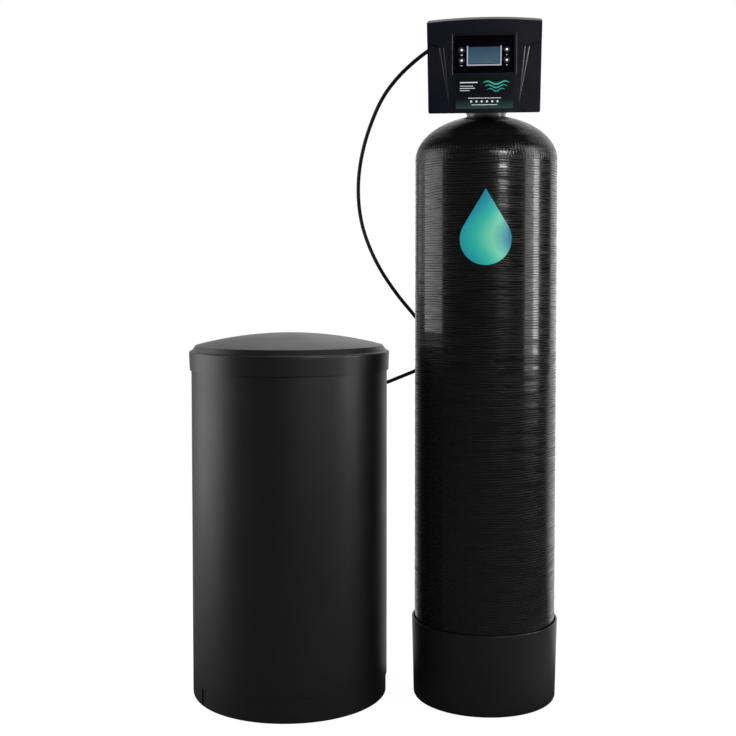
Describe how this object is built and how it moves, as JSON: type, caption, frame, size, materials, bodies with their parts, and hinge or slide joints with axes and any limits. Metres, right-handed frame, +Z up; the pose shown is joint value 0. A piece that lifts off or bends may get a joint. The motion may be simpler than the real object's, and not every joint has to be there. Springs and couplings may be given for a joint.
{
  "type": "water softener",
  "caption": "Twin-tank water softener: tall mineral tank in a boot with a control head and display, and a round brine tank with a lift-off lid, joined by a thin brine line.",
  "frame": {"origin": "on the floor at the axis of the mineral tank", "axes": "+Z up along the mineral tank, the display faces -Y, the brine tank stands at -X"},
  "size_m": [0.8808, 0.5113, 1.5875],
  "materials": {
    "winding": "wound glass fibre in dark resin, glossy",
    "liner": "natural polyethylene",
    "neck": "off-white moulded plastic",
    "boot": "black rubber-like plastic",
    "badge": "printed film, teal",
    "resin": "amber beads",
    "gravel": "gravel",
    "pipe_white": "white pipe",
    "basket": "grey-white moulded plastic",
    "valve": "black glass-filled plastic",
    "seal": "black rubber",
    "spacer": "white plastic",
    "piston": "grey coated plastic",
    "steel": "ground steel",
    "drive_cap": "black plastic",
    "gear": "white acetal",
    "brass": "brass",
    "motor": "plated steel",
    "cover": "blue-black plastic, satin gloss",
    "plate": "black plastic",
    "panel": "glossy black",
    "lens": "tinted clear window",
    "trim": "silver paint",
    "module": "grey-blue display",
    "board": "green laminate",
    "label": "dark film, teal at its foot",
    "knob": "dark red plastic",
    "brine": "black polyethylene, satin",
    "lid": "black plastic, satin",
    "grid": "black plastic",
    "line": "black polyethylene tube",
    "key": "dark grey ring key"
  },
  "bodies": {
    "softener": {"tank_winding": "winding", "tank_liner": "liner", "tank_neck": "neck", "tank_boot": "boot", "tank_badge": "badge", "resin_bed": "resin", "gravel_bed": "gravel", "riser_tube": "pipe_white", "distributors": "basket", "valve_body": "valve", "valve_seals": "seal", "piston_spacers": "spacer", "drive_cap": "drive_cap", "idler_post": "steel", "drive_motor": "motor", "front_cover": "cover", "back_plate": "plate", "head_screws": "steel", "power_jack": "plate", "display_panel": "panel", "display_lens": "lens", "display_trim": "trim", "display_module": "module", "circuit_board": "board", "front_label": "label", "injector": "valve", "brine_elbow": "valve", "drain_elbow": "valve", "flow_controls": "seal", "port_clips": "steel", "meter_cage": "spacer", "meter_sensor": "plate", "bypass_body": "valve", "bypass_caps": "valve", "union_nuts": "valve", "union_gaskets": "seal", "pipe_adapters": "pipe_white", "brine_tank": "brine", "salt_grid": "grid", "brine_well": "pipe_white", "well_fittings": "basket", "float_valve": "basket", "overflow_fitting": "basket", "brine_line": "line"},
    "piston_set": {"piston": "piston", "piston_rod": "steel"},
    "drive_gear": {"drive_gear": "gear"},
    "idler": {"idler_gear": "gear"},
    "pinion": {"motor_pinion": "brass"},
    "turbine": {"meter_turbine": "spacer"},
    "rotor_left": {"bypass_rotor_left": "knob"},
    "rotor_right": {"bypass_rotor_right": "knob"},
    "lid": {"brine_lid": "lid"},
    "well_cap": {"brine_well_cap": "pipe_white"},
    "float": {"brine_float": "spacer"},
    "ball": {"check_ball": "basket"},
    "key_1": {"key_upper_left": "key"},
    "key_2": {"key_lower_left": "key"},
    "key_3": {"key_upper_right": "key"},
    "key_4": {"key_lower_right": "key"}
  },
  "joints": [
    {"name": "drive_gear_turn", "type": "hinge", "parent": "softener", "child": "drive_gear", "pos_m": [0, -0.088, 1.455], "axis": [0, 1, 0], "range_deg": [0, 300]},
    {"name": "piston_slide", "type": "slide", "parent": "softener", "child": "piston_set", "axis": [0, -1, 0], "range_m": [0, 0.03]},
    {"name": "idler_turn", "type": "hinge", "parent": "softener", "child": "idler", "pos_m": [0.05515, -0.088, 1.46472], "axis": [0, 1, 0], "range_deg": [-541, 1]},
    {"name": "pinion_turn", "type": "hinge", "parent": "softener", "child": "pinion", "pos_m": [0.08315, -0.088, 1.46472], "axis": [0, 1, 0], "range_deg": [-1, 1351]},
    {"name": "turbine_spin", "type": "hinge", "parent": "softener", "child": "turbine", "pos_m": [0.04, 0.07, 1.446], "axis": [0, 1, 0], "continuous": true},
    {"name": "bypass_left", "type": "hinge", "parent": "softener", "child": "rotor_left", "pos_m": [-0.04, 0.132, 1.446], "axis": [0, 0, 1], "range_deg": [-90, 0]},
    {"name": "bypass_right", "type": "hinge", "parent": "softener", "child": "rotor_right", "pos_m": [0.04, 0.132, 1.446], "axis": [0, 0, 1], "range_deg": [0, 90]},
    {"name": "lid_lift", "type": "slide", "parent": "softener", "child": "lid", "axis": [0, 0, 1], "range_m": [0, 0.3]},
    {"name": "well_cap_lift", "type": "slide", "parent": "softener", "child": "well_cap", "axis": [0, 0, 1], "range_m": [0, 0.016]},
    {"name": "float_rise", "type": "slide", "parent": "softener", "child": "float", "axis": [0, 0, 1], "range_m": [0, 0.018]},
    {"name": "ball_rise", "type": "slide", "parent": "softener", "child": "ball", "axis": [0, 0, 1], "range_m": [0, 0.028]},
    {"name": "key_1_press", "type": "slide", "parent": "softener", "child": "key_1", "axis": [0, 1, 0], "range_m": [0, 0.0008], "stiffness_N_per_m": 1500},
    {"name": "key_2_press", "type": "slide", "parent": "softener", "child": "key_2", "axis": [0, 1, 0], "range_m": [0, 0.0008], "stiffness_N_per_m": 1500},
    {"name": "key_3_press", "type": "slide", "parent": "softener", "child": "key_3", "axis": [0, 1, 0], "range_m": [0, 0.0008], "stiffness_N_per_m": 1500},
    {"name": "key_4_press", "type": "slide", "parent": "softener", "child": "key_4", "axis": [0, 1, 0], "range_m": [0, 0.0008], "stiffness_N_per_m": 1500}
  ],
  "couplings": [
    {"joint": "piston_slide", "follows": "drive_gear_turn", "m_per_rad": 0.0057296},
    {"joint": "idler_turn", "follows": "drive_gear_turn", "ratio": -1.8},
    {"joint": "pinion_turn", "follows": "drive_gear_turn", "ratio": 4.5}
  ]
}
